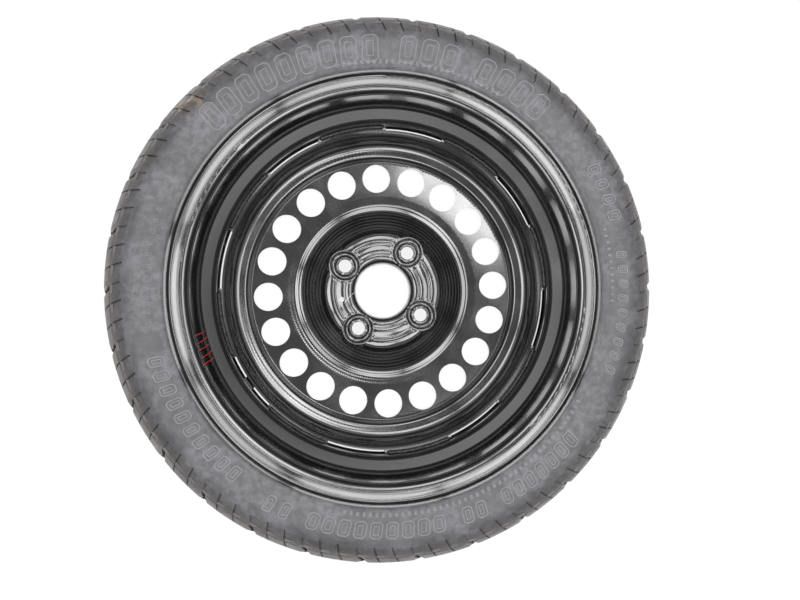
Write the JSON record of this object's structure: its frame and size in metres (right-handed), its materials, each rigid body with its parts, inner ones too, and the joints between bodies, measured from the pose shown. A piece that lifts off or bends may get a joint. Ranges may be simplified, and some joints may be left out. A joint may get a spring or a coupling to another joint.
{
  "type": "space saver spare wheel",
  "caption": "Narrow temporary spare wheel: rounded tyre on a black pressed steel disc wheel with round vents, stud holes, centre bore and a snap-in valve.",
  "frame": {"origin": "centre of the stud circle, on the wheel axis in the face that the hub clamps", "axes": "+Z along the wheel axis, pointing inboard to the hub; X and Y lie in the hub face, and the first stud hole is 57.1 degrees from +X towards +Y"},
  "size_m": [0.5518, 0.5518, 0.1248],
  "materials": {
    "tyre": "matt black rubber with a little dust",
    "wheel_paint": "gloss black",
    "valve_rubber": "satin black",
    "brass": "turned",
    "cap_plastic": "matt black",
    "spring_steel": "drawn wire"
  },
  "bodies": {
    "wheel": {"tyre": "tyre", "rim": "wheel_paint", "wheel_disc": "wheel_paint", "weld_bead_1": "wheel_paint", "weld_bead_2": "wheel_paint", "weld_bead_3": "wheel_paint", "weld_bead_4": "wheel_paint", "weld_bead_5": "wheel_paint", "weld_bead_6": "wheel_paint", "weld_bead_7": "wheel_paint", "weld_bead_8": "wheel_paint", "valve_body": "valve_rubber", "valve_stem": "brass", "valve_core": "brass", "valve_core_seal": "valve_rubber", "valve_spring": "spring_steel"},
    "core_pin": {"valve_pin": "brass", "valve_cup_seal": "valve_rubber"},
    "cap_carrier": {"cap_seal": "valve_rubber"},
    "cap": {"valve_cap": "cap_plastic"}
  },
  "joints": [
    {"name": "valve_cap_lift", "type": "slide", "parent": "wheel", "child": "cap_carrier", "axis": [0, 0, -1], "range_m": [0, 0.00397]},
    {"name": "valve_cap_turn", "type": "hinge", "parent": "cap_carrier", "child": "cap", "pos_m": [-0.14553, -0.10039, 0.0317], "axis": [0, 0, -1], "range_deg": [0, 1801]},
    {"name": "valve_pin_press", "type": "slide", "parent": "wheel", "child": "core_pin", "axis": [0, 0, 1], "range_m": [0, 0.0012], "stiffness_N_per_m": 1000, "springref_m": -0.003, "deforming": ["valve_spring"]}
  ],
  "couplings": [
    {"joint": "valve_cap_turn", "follows": "valve_cap_lift", "rad_per_m": 7913.3}
  ]
}
